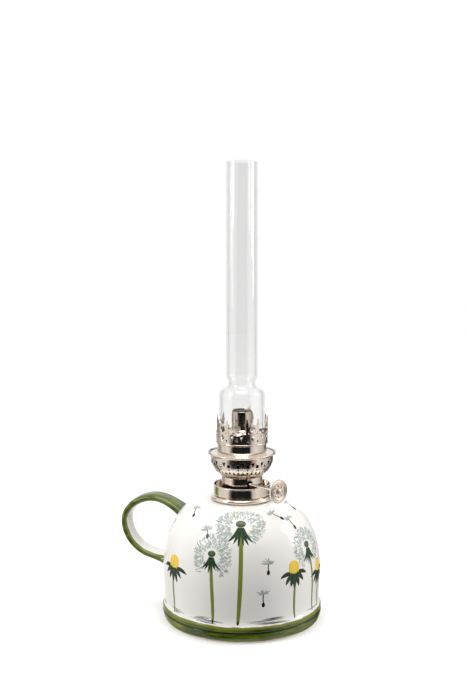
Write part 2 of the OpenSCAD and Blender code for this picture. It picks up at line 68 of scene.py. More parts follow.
def revolved(profile, steps):
    """Points and faces of a closed outline turned about the Z axis. A radius of 0 becomes a pole."""
    points, rows = [], []
    for r, z in profile:
        if r <= 0:
            rows.append([len(points)] * steps)
            points.append((0.0, 0.0, z))
            continue
        rows.append([len(points) + i for i in range(steps)])
        points += [(r * math.cos(2 * math.pi * i / steps), r * math.sin(2 * math.pi * i / steps), z)
                   for i in range(steps)]
    faces = []
    for a, b in zip(rows, rows[1:] + rows[:1]):
        for i in range(steps):
            j = (i + 1) % steps
            face = list(dict.fromkeys((a[i], a[j], b[j], b[i])))
            if len(face) > 2:
                faces.append(face)
    return points, faces


def woven(rows, columns, base=0, closed=False, flipped=False):
    """Faces between rows of points. A closed row joins up with its own start."""
    faces = []
    for i in range(rows - 1):
        for k in range(columns if closed else columns - 1):
            a, b = base + i * columns + k, base + i * columns + (k + 1) % columns
            faces.append((a, a + columns, b + columns, b) if flipped else (a, b, b + columns, a + columns))
    return faces


def arc(cx, cz, rx, rz, start, end, steps):
    """Points along an elliptical arc, the angles in degrees."""
    angles = [math.radians(start + (end - start) * i / steps) for i in range(steps + 1)]
    return [(cx + rx * math.cos(a), cz + rz * math.sin(a)) for a in angles]


def store(piece, name, values):
    """Keep one number for each vertex, for the material to read."""
    layer = piece.data.attributes.new(name, "FLOAT", "POINT")
    layer.data.foreach_set("value", values)


# ---------------------------------------------------------------- node materials

class Tree:
    """Builds one node tree. Sockets are given by name, or as i and their number."""

    def __init__(self, name):
        self.material = bpy.data.materials.new(name)
        self.material.use_nodes = True
        self.nodes = self.material.node_tree.nodes
        self.links = self.material.node_tree.links
        self.nodes.clear()
        self.here = self.add("TexCoord").outputs["Object"]

    def add(self, kind, settings=None, **inputs):
        node = self.nodes.new("ShaderNode" + kind)
        for key, value in (settings or {}).items():
            setattr(node, key, value)
        for key, value in inputs.items():
            socket = node.inputs[int(key[1:]) if key[1:].isdigit() else key.replace("_", " ")]
            if isinstance(value, bpy.types.NodeSocket):
                self.links.new(value, socket)
            else:
                socket.default_value = value
        return node

    def math(self, operation, a, b=0.0, c=0.0):
        return self.add("Math", {"operation": operation}, i0=a, i1=b, i2=c).outputs[0]

    def noise(self, scale, detail=2.0, stretch=(1, 1, 1), rough=0.5):
        place = self.add("Mapping", Vector=self.here, Scale=stretch).outputs[0]
        return self.add("TexNoise", Vector=place, Scale=scale, Detail=detail, Roughness=rough).outputs["Fac"]

    def between(self, value, low, high, out_low=0.0, out_high=1.0):
        return self.add("MapRange", {"interpolation_type": "SMOOTHSTEP"}, Value=value, From_Min=low,
                        From_Max=high, To_Min=out_low, To_Max=out_high).outputs[0]

    def linear(self, value, low, high, out_low, out_high):
        return self.add("MapRange", Value=value, From_Min=low, From_Max=high, To_Min=out_low,
                        To_Max=out_high).outputs[0]

    def mix(self, share, a, b):
        return self.add("Mix", {"data_type": "RGBA"}, i0=share, i6=a, i7=b).outputs[2]

    def ramp(self, value, *stops):
        node = self.add("ValToRGB", Fac=value)
        band = node.color_ramp
        while len(band.elements) < len(stops):
            band.elements.new(1.0)
        for element, (place, colour) in zip(band.elements, stops):
            element.position = place
            element.color = colour
        return node.outputs[0]

    def height(self):
        return self.add("SeparateXYZ", Vector=self.here).outputs["Z"]

    def bump(self, height, distance, strength=1.0, normal=None):
        extra = {"Normal": normal} if normal else {}
        return self.add("Bump", Height=height, Distance=distance, Strength=strength, **extra).outputs[0]

    def shader(self, **inputs):
        node = self.add("BsdfPrincipled", **inputs)
        self.finish(node.outputs[0])
        return self.material

    def finish(self, surface):
        self.add("OutputMaterial", Surface=surface)


def rgb(red, green, blue):
    return (red, green, blue, 1.0)


def green_glaze(t):
    """Brushed-on green glaze: pools of dark and thinner olive patches, with blue-grey patches of painted
    highlight scattered at random.
    """
    brushed = t.noise(34, 4, (1, 1, 5), 0.62)
    # painted highlight: soft blue-grey patches laid over the green by noise
    painted_sheen = t.noise(22, 2, (1, 1, 2.2))
    green = t.ramp(brushed, (0.30, rgb(0.014, 0.028, 0.003)), (0.44, rgb(0.048, 0.078, 0.005)),
                   (0.57, rgb(0.110, 0.150, 0.011)), (0.76, rgb(0.260, 0.280, 0.034)))
    return t.mix(t.between(painted_sheen, 0.60, 0.76, 0.0, 0.22), green, rgb(0.13, 0.17, 0.09))


def white_glaze(t):
    """Warm white tin glaze with faint clouding and a few iron specks."""
    cloud = t.noise(26, 3)
    white = t.mix(cloud, rgb(0.85, 0.825, 0.785), rgb(0.90, 0.885, 0.855))
    cells = t.add("TexVoronoi", Vector=t.here, Scale=95.0, Randomness=1.0)
    rare = t.math("GREATER_THAN", t.add("SeparateColor", Color=cells.outputs["Color"]).outputs[0], 0.972)
    speck = t.math("MULTIPLY", rare, t.between(cells.outputs["Distance"], 0.05, 0.11, 1.0, 0.0))
    return t.mix(t.math("MULTIPLY", speck, 0.75), white, rgb(0.23, 0.12, 0.05))


def glaze_surface(t, colour, rough=0.09, shine=0.5):
    """The smooth skin of a fired glaze over slightly uneven clay."""
    uneven = t.bump(t.noise(48, 2), 0.0006, 0.22)
    pores = t.bump(t.noise(1400, 2), 0.00004, 0.35, uneven)
    gloss = t.linear(t.noise(90, 3), 0.3, 0.7, rough, rough + 0.09)
    return {"Base_Color": colour, "Roughness": gloss, "IOR": 1.5, "Specular_IOR_Level": shine,
            "Normal": pores}


def font_material():
    t = Tree("glazed_font")
    z = t.height()
    top, groove_z = BAND_H * MM, (BAND_H - 4.6) * MM
    wavy = t.math("MULTIPLY_ADD", t.math("SUBTRACT", t.noise(38, 3), 0.5), 0.0016, z)
    ragged = t.math("MULTIPLY_ADD", t.math("SUBTRACT", t.noise(160, 3), 0.5), 0.0010, wavy)
    green = green_glaze(t)
    olive = t.mix(t.noise(60, 2), rgb(0.150, 0.175, 0.016), rgb(0.250, 0.250, 0.040))
    edge = t.math("MULTIPLY", t.between(ragged, top - 0.0026, top - 0.0012),
                  t.between(ragged, top - 0.0006, top + 0.0006, 1.0, 0.35))
    green = t.mix(edge, green, olive)
    # painted shade: a near-black line along the groove where the foot band folds
    groove = t.math("MULTIPLY", t.between(z, groove_z - 0.0012, groove_z - 0.0001),
                    t.between(z, groove_z + 0.0001, groove_z + 0.0012, 1.0, 0.0))
    green = t.mix(t.math("MULTIPLY", groove, 0.85), green, rgb(0.006, 0.014, 0.003))
    white = t.between(ragged, top - 0.0003, top + 0.0003)
    body = t.mix(white, green, white_glaze(t))
    clay = t.mix(t.noise(400, 3), rgb(0.62, 0.52, 0.42), rgb(0.74, 0.66, 0.56))
    glazed = t.between(ragged, 0.0013, 0.0019)
    colour = t.mix(glazed, clay, body)
    looks = glaze_surface(t, colour, 0.07, t.linear(white, 0, 1, 0.50, 0.62))
    looks["Roughness"] = t.math("MAXIMUM", looks["Roughness"], t.linear(glazed, 0, 1, 0.85, 0.0))
    return t.shader(**looks)


def handle_material():
    t = Tree("glazed_handle")
    inner = t.add("Attribute", {"attribute_name": "inner"}).outputs["Fac"]
    loose = t.math("MULTIPLY_ADD", t.math("SUBTRACT", t.noise(70, 3), 0.5), 0.35, inner)
    green = green_glaze(t)
    olive = t.mix(t.noise(60, 2), rgb(0.120, 0.150, 0.014), rgb(0.230, 0.235, 0.035))
    edge = t.math("MULTIPLY", t.between(loose, 0.30, 0.58), t.between(loose, 0.62, 0.80, 1.0, 0.5))
    green = t.mix(edge, green, olive)
    white = t.between(loose, 0.70, 0.78)
    colour = t.mix(white, green, white_glaze(t))
    return t.shader(**glaze_surface(t, colour, 0.07, t.linear(white, 0, 1, 0.55, 0.6)))


def paint_material(name, *stops):
    """Underglaze brushwork: the tone of each stroke with streaks along it, under the same gloss."""
    t = Tree(name)
    tone = t.add("Attribute", {"attribute_name": "tone"}).outputs["Fac"]
    streaks = t.math("MULTIPLY_ADD", t.math("SUBTRACT", t.noise(700, 3, (1, 1, 0.35), 0.6), 0.5), 0.45, tone)
    return t.shader(**glaze_surface(t, t.ramp(streaks, *stops), 0.09, 0.3))


def nickel_material(name, tint, rough, shade_z=0.0, whole=0.0):
    """Old nickel plate, bright with soft smears and scratches.

    Below the given height, in metres, painted shade darkens the faces that look inwards, or every face if
    whole is 1.
    """
    t = Tree(name)
    smear = t.noise(130, 4, (1, 1, 2.5), 0.6)
    tarnish = t.noise(420, 3)
    plate = t.mix(smear, tint, rgb(tint[0] * 0.88, tint[1] * 0.84, tint[2] * 0.80))
    plate = t.mix(t.between(tarnish, 0.62, 0.80, 0.0, 0.5), plate, rgb(0.34, 0.27, 0.20))
    radial = t.add("VectorMath", {"operation": "MULTIPLY"}, i0=t.here, i1=(1.0, 1.0, 0.0)).outputs[0]
    turned = t.add("VectorMath", {"operation": "DOT_PRODUCT"}, i0=t.add("NewGeometry").outputs["Normal"],
                   i1=t.add("VectorMath", {"operation": "NORMALIZE"}, i0=radial).outputs[0]).outputs["Value"]
    hidden = t.math("MAXIMUM", t.between(turned, -0.2, 0.1, 1.0, 0.0), whole)
    # painted shade: inward-looking faces below the height, where little light reaches, are darkened nearly to
    # black
    painted_shade = t.math("MULTIPLY", t.between(t.height(), shade_z - 0.002, shade_z, 1.0, 0.0), hidden)
    plate = t.mix(painted_shade, plate, rgb(0.030, 0.024, 0.020))
    gloss = t.linear(smear, 0.3, 0.7, rough, rough + 0.10)
    soft = t.add("Bevel", {"samples": 4}, Radius=0.00012).outputs[0]
    lines = t.bump(t.noise(260, 2, (1, 1, 14)), 0.00003, 0.25, soft)
    return t.shader(Base_Color=plate, Metallic=1.0, Roughness=gloss, Normal=lines)


def brass_material():
    t = Tree("aged_brass")
    smear = t.noise(180, 4)
    tint = t.mix(smear, rgb(0.62, 0.43, 0.16), rgb(0.74, 0.55, 0.25))
    dull = t.mix(t.between(t.noise(500, 2), 0.58, 0.75), tint, rgb(0.22, 0.14, 0.06))
    return t.shader(Base_Color=dull, Metallic=1.0, Roughness=t.linear(smear, 0.3, 0.7, 0.22, 0.42),
                    Normal=t.bump(t.noise(1500, 2), 0.00003, 0.3))


def plaster_material():
    t = Tree("plaster")
    grain = t.noise(900, 5)
    tint = t.mix(grain, rgb(0.55, 0.52, 0.46), rgb(0.74, 0.72, 0.67))
    return t.shader(Base_Color=tint, Roughness=0.92, Normal=t.bump(grain, 0.0001, 0.6))


def cotton_material():
    """Woven cotton: crossed threads with a scorched band near the burning edge."""
    t = Tree("woven_cotton")
    split = t.add("SeparateXYZ", Vector=t.here)
    across = t.math("SINE", t.math("MULTIPLY", split.outputs["Z"], 9000.0))
    around = t.math("ARCTAN2", split.outputs["Y"], split.outputs["X"])
    along = t.math("SINE", t.math("MULTIPLY", around, 64.0))
    weave = t.math("MULTIPLY_ADD", t.math("MULTIPLY", across, along), 0.5, 0.5)
    cream = t.mix(t.noise(300, 4), rgb(0.72, 0.63, 0.45), rgb(0.88, 0.82, 0.68))
    cream = t.mix(t.math("MULTIPLY", weave, 0.25), cream, rgb(0.52, 0.43, 0.28))
    pale = t.add("Attribute", {"attribute_name": "pale"}).outputs["Fac"]
    burnt = t.math("MULTIPLY_ADD", t.noise(420, 3), 0.0012, split.outputs["Z"])
    burnt = t.math("MULTIPLY", t.between(burnt, 0.1566, 0.1576), t.math("SUBTRACT", 1.0, pale))
    cream = t.mix(t.math("MULTIPLY", burnt, 0.9), cream, rgb(0.035, 0.022, 0.014))
    return t.shader(Base_Color=cream, Roughness=0.95, Sheen_Weight=0.25,
                    Normal=t.bump(weave, 0.0002, 0.7))


def glass_material(tint):
    """Clear thin glass. It lets light straight through and mirrors more the flatter it is seen."""
    t = Tree("drawn_glass")
    drawn = t.noise(60, 2, (1, 1, 0.05))
    seeds = t.noise(900, 2, (1, 1, 0.3))
    skin = t.bump(seeds, 0.00002, 0.2, t.bump(drawn, 0.0004, 0.3))
    facing = t.add("LayerWeight", Blend=0.5, Normal=skin).outputs["Facing"]
    gleam = t.math("MULTIPLY_ADD", t.math("POWER", facing, 5.0), 0.96, 0.04)
    mirror = t.add("BsdfPrincipled", Base_Color=t.mix(seeds, rgb(0.93, 0.93, 0.93), rgb(0.98, 0.98, 0.98)),
                   Metallic=1.0, Roughness=0.02, Normal=skin).outputs[0]
    clear = t.add("BsdfTransparent", Color=t.mix(drawn, tint, rgb(0.972, 0.972, 0.972))).outputs[0]
    t.finish(t.add("MixShader", i0=gleam, i1=clear, i2=mirror).outputs[0])
    return t.material


def floor_material():
    t = Tree("pale_table")
    tint = t.mix(t.noise(9, 3), rgb(0.90, 0.90, 0.90), rgb(0.93, 0.93, 0.93))
    return t.shader(Base_Color=tint, Roughness=t.linear(t.noise(40, 2), 0.3, 0.7, 0.55, 0.65),
                    Emission_Color=tint, Emission_Strength=0.10)


def card_material(name, *stops):
    """Studio cloth that changes from dark to pale round the lamp."""
    t = Tree(name)
    turn = t.add("Attribute", {"attribute_name": "turn"}).outputs["Fac"]
    tint = t.ramp(turn, *[((degrees + 180) / 360, rgb(v, v * 0.97, v * 0.93)) for degrees, v in stops])
    cloth = t.mix(t.math("MULTIPLY", t.noise(6, 2), 0.12), tint, rgb(0.02, 0.02, 0.02))
    return t.shader(Base_Color=cloth, Roughness=0.9, Specular_IOR_Level=0.0)


def dress(piece, material):
    piece.data.materials.clear()
    piece.data.materials.append(material)


def smooth_group():
    """Rounds the shading of the drawn sheet metal and keeps its real edges sharp."""
    group = bpy.data.node_groups.new("soft_shading", "GeometryNodeTree")
    group.interface.new_socket("Geometry", in_out="INPUT", socket_type="NodeSocketGeometry")
    group.interface.new_socket("Geometry", in_out="OUTPUT", socket_type="NodeSocketGeometry")
    start = group.nodes.new("NodeGroupInput")
    end = group.nodes.new("NodeGroupOutput")
    weld = group.nodes.new("GeometryNodeMergeByDistance")
    weld.inputs["Distance"].default_value = 2e-6
    angle = group.nodes.new("GeometryNodeInputMeshEdgeAngle")
    sharp = group.nodes.new("FunctionNodeCompare")
    sharp.operation = "GREATER_THAN"
    sharp.inputs[1].default_value = math.radians(34)
    normals = group.nodes.new("GeometryNodeSetMeshNormal")
    normals.inputs["Remove Custom"].default_value = True
    normals.inputs["Face Sharpness"].default_value = False
    link = group.links.new
    link(start.outputs[0], weld.inputs["Geometry"])
    link(weld.outputs[0], normals.inputs["Mesh"])
    link(angle.outputs["Unsigned Angle"], sharp.inputs[0])
    link(sharp.outputs[0], normals.inputs["Edge Sharpness"])
    link(normals.outputs[0], end.inputs[0])
    return group


# ---------------------------------------------------------------- the font's shape

FONT_R, FONT_H, FLAT_R, MOUTH_R, WALL = 59.5, 90.3, 27.5, 18.4, 5.0
RISE, RUN, TUCK = 51.0, 32.0, 0.8
BAND_H, BAND_R = 12.4, 60.1
SHOULDER_Z, WAIST_Z = FONT_H - RISE, BAND_H + 5.0
RECESS_Z, RECESS_R, FOOT_R = 1.2, 51.4, 57.1
STRAP_W, STRAP_T = 17.5, 6.2


def wall_radius(z):
    """The font's radius between its waist and its shoulder."""
    turn = 90 * (z - WAIST_Z) / (SHOULDER_Z - WAIST_Z)
    return FONT_R - TUCK * math.cos(math.radians(turn)) ** 2


def font_outside():
    """The font's outline from its foot ring to the edge of its flat top."""
    groove, foot_round, bead = BAND_H * 0.63, 3.1, 0.9
    line = arc(BAND_R - foot_round, groove - 0.4, foot_round, groove - 0.8, -74, 0, 16)
    line += arc(BAND_R - bead, (groove + BAND_H) / 2, bead, (BAND_H - groove) / 2, -85, 85, 18)
    line += [(wall_radius(z), z) for z in [WAIST_Z + (SHOULDER_Z - WAIST_Z) * i / 22 for i in range(22)]]
    return line + arc(FLAT_R, SHOULDER_Z, RUN, RISE, 0, 90, 72)


def painted_line():
    """The part of the outline that carries brushwork, with the distance run along it."""
    line = [p for p in font_outside() if p[1] > BAND_H - 0.2]
    far = [0.0]
    for a, b in zip(line, line[1:]):
        far.append(far[-1] + math.dist(a, b))
    return line, far


PAINTED, ALONG = painted_line()


def run_at(z):
    """Distance along the outline at a height."""
    for i in range(len(PAINTED) - 1):
        if PAINTED[i][1] <= z <= PAINTED[i + 1][1]:
            share = (z - PAINTED[i][1]) / max(1e-6, PAINTED[i + 1][1] - PAINTED[i][1])
            return ALONG[i] + share * (ALONG[i + 1] - ALONG[i])
    return ALONG[-1]


def outline_at(run):
    """Radius, height and outward direction at a distance along the outline."""
    run = min(max(run, 0.0), ALONG[-1] - 0.01)
    i = max(k for k in range(len(ALONG) - 1) if ALONG[k] <= run)
    a, b = PAINTED[i], PAINTED[i + 1]
    share = (run - ALONG[i]) / (ALONG[i + 1] - ALONG[i])
    step = math.dist(a, b)
    return (a[0] + share * (b[0] - a[0]), a[1] + share * (b[1] - a[1]),
            (b[1] - a[1]) / step, -(b[0] - a[0]) / step)


# ---------------------------------------------------------------- brushwork

# Angles round the font are counted to the right from the side that faces the front, in degrees
FRONT = -75.0


# Height of the flowers' feet, and the radii that turn angles into lengths near the foot
STEM_FOOT, STEM_R, GROUND_R = 13.2, 59, 58.8


def shares(steps):
    return [i / steps for i in range(steps + 1)]


def bowed(start, end, bend, steps):
    """Points from start to end along a line bowed to one side."""
    du, dv = end[0] - start[0], end[1] - start[1]
    size = math.hypot(du, dv) or 1.0
    path = []
    for t in shares(steps):
        bow = bend * math.sin(math.pi * t)
        path.append((start[0] + du * t - dv / size * bow, start[1] + dv * t + du / size * bow))
    return path


class Brush:
    """Collects strokes as thin raised ribbons on the font's surface."""

    def __init__(self, seed):
        self.random = random.Random(seed)
        self.points, self.faces, self.tones = [], [], []

    def place(self, angle, run, lift):
        """A point on the font, lifted off its surface."""
        r, z, out, up = outline_at(run)
        a = math.radians(FRONT + angle)
        r += out * lift
        return (r * math.cos(a), r * math.sin(a), z + up * lift)

    def stroke(self, anchor, path, widths, tone, lift=0.07):
        """A ribbon through points given as right and up in millimetres from an anchor (angle, height)."""
        angle, run = anchor[0], run_at(anchor[1])
        spots = [(u, run + v) for u, v in path]
        base = len(self.points)
        last = len(spots) - 1
        for i, (u, s) in enumerate(spots):
            before, after = spots[max(0, i - 1)], spots[min(last, i + 1)]
            du, ds = after[0] - before[0], after[1] - before[1]
            size = math.hypot(du, ds) or 1.0
            half = widths[i] / 2
            r = outline_at(s)[0]
            for side, high in ((-1, 0.02), (-0.5, lift * 0.8), (0.5, lift * 0.8), (1, 0.02)):
                x, y = u - ds / size * half * side, s + du / size * half * side
                self.points.append(self.place(angle + math.degrees(x / r), y, high))
                self.tones.append(tone + self.random.uniform(-0.05, 0.05))
        self.faces += woven(len(spots), 4, base)

    def line(self, anchor, start, end, width, tone, bend=0.0, steps=6, taper=(0.3, 0.3), lift=0.07):
        """A single brush mark from start to end, swelling in its middle and bowed to one side."""
        widths = []
        for t in shares(steps):
            swell = math.sin(math.pi * t) ** 0.6
            ends = taper[0] * (1 - t) + taper[1] * t
            widths.append(width * (ends + (1 - ends) * swell))
        self.stroke(anchor, bowed(start, end, bend, steps), widths, tone, lift)

    def leaf(self, anchor, start, end, width, tone, bend=0.0, lift=0.07):
        """A pointed leaf, widest a third of the way along."""
        steps = 9
        widths = [width * max(0.06, (1 - t) ** 0.8 * (0.45 + 1.7 * t)) for t in shares(steps)]
        self.stroke(anchor, bowed(start, end, bend, steps), widths, tone, lift)

    def oval(self, anchor, wide, tall, tone, lift=0.09):
        """A filled oval dab."""
        turns = [math.pi * i / 12 for i in range(13)]
        path = [(0.0, tall / 2 * math.cos(math.pi - a)) for a in turns]
        self.stroke(anchor, path, [max(0.15, wide * math.sin(a)) for a in turns], tone, lift)

    def piece(self, name, slot, material):
        """The finished object that all of this brush's strokes make."""
        piece = new_piece(name, self.points, self.faces, "font")
        store(piece, "tone", self.tones)
        dress(piece, material)


# Seed heads: angle, height of the heart, reach of the down sideways and upwards, foot's angle, stem width
CLOCKS = [
    (-1.0, 82.5, 17.0, 13.5, -3.0, 3.1),
    (-22.5, 63.0, 13.5, 15.0, -20.4, 2.5),
    (57.5, 63.5, 14.5, 14.0, 61.0, 2.2),
    (126.0, 78.0, 16.0, 14.0, 127.5, 3.4),
    (160.0, 60.0, 13.0, 14.5, 158.5, 2.8),
    (214.0, 70.0, 14.0, 14.0, 215.0, 3.0),
]
# Yellow flowers: angle, height, width, foot's angle
BUDS = [
    (-57.0, 50.5, 12.5, -56.4), (39.5, 50.5, 10.2, 40.0), (70.5, 44.5, 10.5, 70.5),
    (98.0, 47.0, 10.0, 97.0), (143.0, 42.0, 9.5, 143.5), (186.0, 50.0, 10.4, 185.0),
    (238.0, 45.0, 9.6, 237.0),
]
# Loose seeds: the seed's angle and height, then where its stalk ends
SEEDS = [
    (-54.3, 83.6, -59.5, 87.2), (-28.7, 73.8, -30.0, 77.8), (41.7, 83.4, 34.5, 87.0),
    (51.0, 76.4, 49.0, 82.2), (71.5, 85.4, 74.0, 89.0), (18.5, 50.5, 19.2, 56.6), (14.8, 27.8, 14.9, 35.6),
    (-86.0, 66.0, -83.0, 74.0), (104.0, 74.0, 101.0, 80.0), (176.0, 72.0, 173.0, 78.0),
    (199.0, 40.0, 198.0, 47.0), (231.0, 68.0, 228.0, 74.0),
]
# Strokes for the ground: angles from and to, height
GROUND = [
    (-40, -12, 15.0), (-36, -17, 13.9), (-33, -20, 16.4), (4, 34, 15.2), (10, 36, 13.8), (14, 30, 16.6),
    (-61, -46, 16.0), (-58, -49, 14.6), (52, 72, 15.0), (90, 112, 15.4), (118, 140, 14.4), (150, 168, 15.6),
    (178, 200, 14.6), (206, 226, 15.4), (-82, -70, 15.2),
]


def paint_clock(down, green, clock):
    """One seed head: its stem, drooping bracts, heart and the fine down round it."""
    angle, z, reach, rise, foot, stem = clock
    pick = green.random
    head = (angle, z)
    length = run_at(z) - run_at(STEM_FOOT)
    lean = (foot - angle) * math.pi / 180 * STEM_R
    green.line(head, (0.3, -6.0), (lean * 0.9, -length + 1.6), stem, 0.80, stem * 0.25, 26, (0.85, 0.6), 0.10)
    green.line(head, (lean * 0.88, -length + 3.4), (lean * 0.92, -length + 0.4), stem * 0.55, 0.02, 0.0, 5,
               (0.5, 0.3), 0.14)
    size = reach / 17.0
    droop = 17.5 * size
    for k in range(6):
        side = (k - 2.5) / 2.5
        fall = droop * (1.0 - 0.22 * abs(side))
        tip = (side * 9.0 * size + pick.uniform(-0.5, 0.5), -fall + pick.uniform(-1, 1))
        green.leaf(head, (side * 1.6 * size, -3.0 * size), tip, 2.9 * size, 0.16 + 0.10 * (k % 2),
                   -side * 1.1, 0.15)
    green.oval(head, 7.4 * size, 5.6 * size, 0.36, 0.20)
    green.oval((angle, z + 0.4), 5.4 * size, 3.6 * size, 0.52, 0.24)
    for _ in range(int(560 * size)):
        turn = pick.uniform(-0.30 * math.pi, 1.30 * math.pi)
        far = pick.uniform(0.22, 1.0) ** 0.62
        u = math.cos(turn) * reach * far
        v = math.sin(turn) * rise * far - 3.0 * size
        if abs(u) < 4.5 * size and v < 2.5 * size:
            continue
        way = turn + pick.uniform(-0.75, 0.75)
        hair = pick.uniform(1.4, 3.2) * (0.8 + 0.2 * size)
        down.line(head, (u, v), (u + math.cos(way) * hair, v + math.sin(way) * hair),
                  pick.uniform(0.40, 0.90), pick.uniform(0.05, 0.95), pick.uniform(-0.3, 0.3), 3,
                  (0.4, 0.2), 0.05)


def paint_bud(green, yellow, bud):
    """One yellow flower with its star of dark leaves and thin stem."""
    angle, z, wide, foot = bud
    pick = green.random
    head = (angle, z)
    length = run_at(z) - run_at(STEM_FOOT)
    lean = (foot - angle) * math.pi / 180 * STEM_R
    tall = 11.6
    green.line(head, (0.2, -tall * 0.6), (lean, -length + 0.8), 2.0, 0.78, -0.7, 20, (0.9, 0.45), 0.10)
    yellow.oval(head, wide, tall, 0.5, 0.16)
    for k in range(5):
        u = (k - 2) * wide * 0.18
        yellow.line(head, (u, -tall * 0.30), (u * 0.8, tall * 0.36), wide * 0.16, pick.uniform(0.2, 0.9), 0.1,
                    5, (0.4, 0.3), 0.19)
    for k in range(7):
        side = (k - 3) / 3
        fall = 10.5 * (1 - 0.88 * abs(side) ** 1.8)
        tip = (side * wide * 1.22 + pick.uniform(-0.5, 0.5), -tall * 0.34 - fall + pick.uniform(-0.8, 0.8))
        green.leaf(head, (side * wide * 0.20, -tall * 0.32), tip, 4.8 - 0.8 * abs(side),
                   0.08 + 0.12 * (k % 2), side * 1.3, 0.17)


def paint_seed(dark, down, seed):
    """One drifting seed: a black pip, a hair-thin stalk and its tuft."""
    angle, z, tip_angle, tip_z = seed
    pick = dark.random
    pip = (angle, z)
    r = outline_at(run_at((z + tip_z) / 2))[0]
    du, dv = math.radians(tip_angle - angle) * r, run_at(tip_z) - run_at(z)
    size = math.hypot(du, dv)
    eu, ev = du / size, dv / size
    dark.line(pip, (-eu * 1.6, -ev * 1.6), (eu * 1.9, ev * 1.9), 2.4, 0.05, 0.0, 6, (0.35, 0.25), 0.12)
    dark.line(pip, (eu * 1.4, ev * 1.4), (du, dv), 0.85, 0.25, 0.35, 6, (0.9, 0.6), 0.08)
    for k in range(7):
        way = math.atan2(dv, du) + (k - 3) * 0.50 + pick.uniform(-0.12, 0.12)
        reach = pick.uniform(3.2, 6.4)
        down.line(pip, (du, dv), (du + math.cos(way) * reach, dv + math.sin(way) * reach * 0.7),
                  pick.uniform(0.7, 1.4), pick.uniform(0.1, 0.7), 0.3, 5, (0.5, 0.2), 0.06)


def paint_ground(dark, start, end, z):
    """Three thin strokes side by side, for the ground under the flowers."""
    pick = dark.random
    middle = (start + end) / 2
    half = math.radians(end - start) / 2 * GROUND_R
    for k in range(3):
        shift = pick.uniform(-3, 3)
        dark.line((middle, z + 0.5 * k - 0.4), (-half * 0.9 + shift, 0),
                  (half * 0.9 + shift, pick.uniform(-0.7, 0.7)), pick.uniform(0.18, 0.50),
                  pick.uniform(0.45, 0.85), 0.2, 22, (0.1, 0.1), 0.05)


# ---------------------------------------------------------------- settings

class OilLampSettings(bpy.types.PropertyGroup):
    """Sizes and tints of the finishes"""
    turns: IntProperty(name="Steps around", description="Segments round the turned pieces", default=256,
                       min=64, max=512)
    handle_steps: IntProperty(name="Handle rings", description="Rings along the strap handle", default=120,
                              min=40, max=300)
    nickel: FloatVectorProperty(name="Nickel tint", description="Reflected tint of the plating",
                                default=(0.86, 0.79, 0.72), size=3, subtype="COLOR", min=0.0, max=1.0)
    glass: FloatVectorProperty(name="Glass tint", description="Tint of the chimney's glass",
                               default=(0.948, 0.948, 0.948), size=3, subtype="COLOR", min=0.0, max=1.0)
    fringe: IntProperty(name="Wick threads", description="Loose threads along the wick's edge", default=190,
                        min=0, max=600)
    table_front: FloatProperty(name="Table in front",
                               description="How far the table reaches in front of the lamp", default=0.21,
                               subtype="DISTANCE", unit="LENGTH")
    daylight: FloatProperty(name="Tent light", description="Strength of the pale surroundings",
                            default=1.0, min=0.0)


# ---------------------------------------------------------------- operators

class OILLAMP_OT_font(bpy.types.Operator):
    """Turn the glazed font with its foot band"""
    bl_idname = "oillamp.font"
    bl_label = "Glazed font"

    def execute(self, context):
        inside = arc(FLAT_R, SHOULDER_Z, RUN - WALL, RISE - WALL, 90, 0, 40)
        inside += arc(FONT_R - TUCK - WALL - 9, 15.5, 9, 9, 0, -90, 12)
        profile = [(0.0, RECESS_Z), (RECESS_R, RECESS_Z), (RECESS_R + 0.4, RECESS_Z - 0.4),
                   (RECESS_R + 0.4, 0.3), (RECESS_R + 0.7, 0.0), (FOOT_R, 0.0)]
        profile += font_outside()
        profile += [(MOUTH_R + 0.4, FONT_H), (MOUTH_R, FONT_H - 0.4), (MOUTH_R, FONT_H - WALL)]
        profile += inside + [(0.0, 6.5)]
        points, faces = revolved(profile, context.scene.oillamp.turns)
        piece = new_piece("glazed_body", points, faces, "font")
        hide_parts("font")
        dress(piece, font_material())
        return {"FINISHED"}


def bezier(p, t):
    """The point at share t along a cubic curve."""
    s = 1 - t
    return [s ** 3 * a + 3 * t * s * s * b + 3 * t * t * s * c + t ** 3 * d for a, b, c, d in zip(*p)]


def handle_line(steps):
    """The strap's middle line as radius and height, out from the shoulder and back to the wall."""
    r, top, out = FONT_R + 33.2, FONT_H - 3.3, FONT_H - 22.4
    spans = [
        ((44.5, 76.3), (50.5, 79.7), (58.5, top), (69.5, top)),
        ((69.5, top), (r - 11.5, top), (r, out + 10.5), (r, out)),
        ((r, out), (r, out - 10.5), (r - 7, out - 20), (r - 17.5, out - 24.4)),
        ((r - 17.5, out - 24.4), (68.0, out - 26.7), (61.5, out - 28), (55.0, out - 28.8)),
    ]
    each = steps // 4
    return [bezier(s, i / each) for s in spans for i in range(each)] + [list(spans[3][3])]


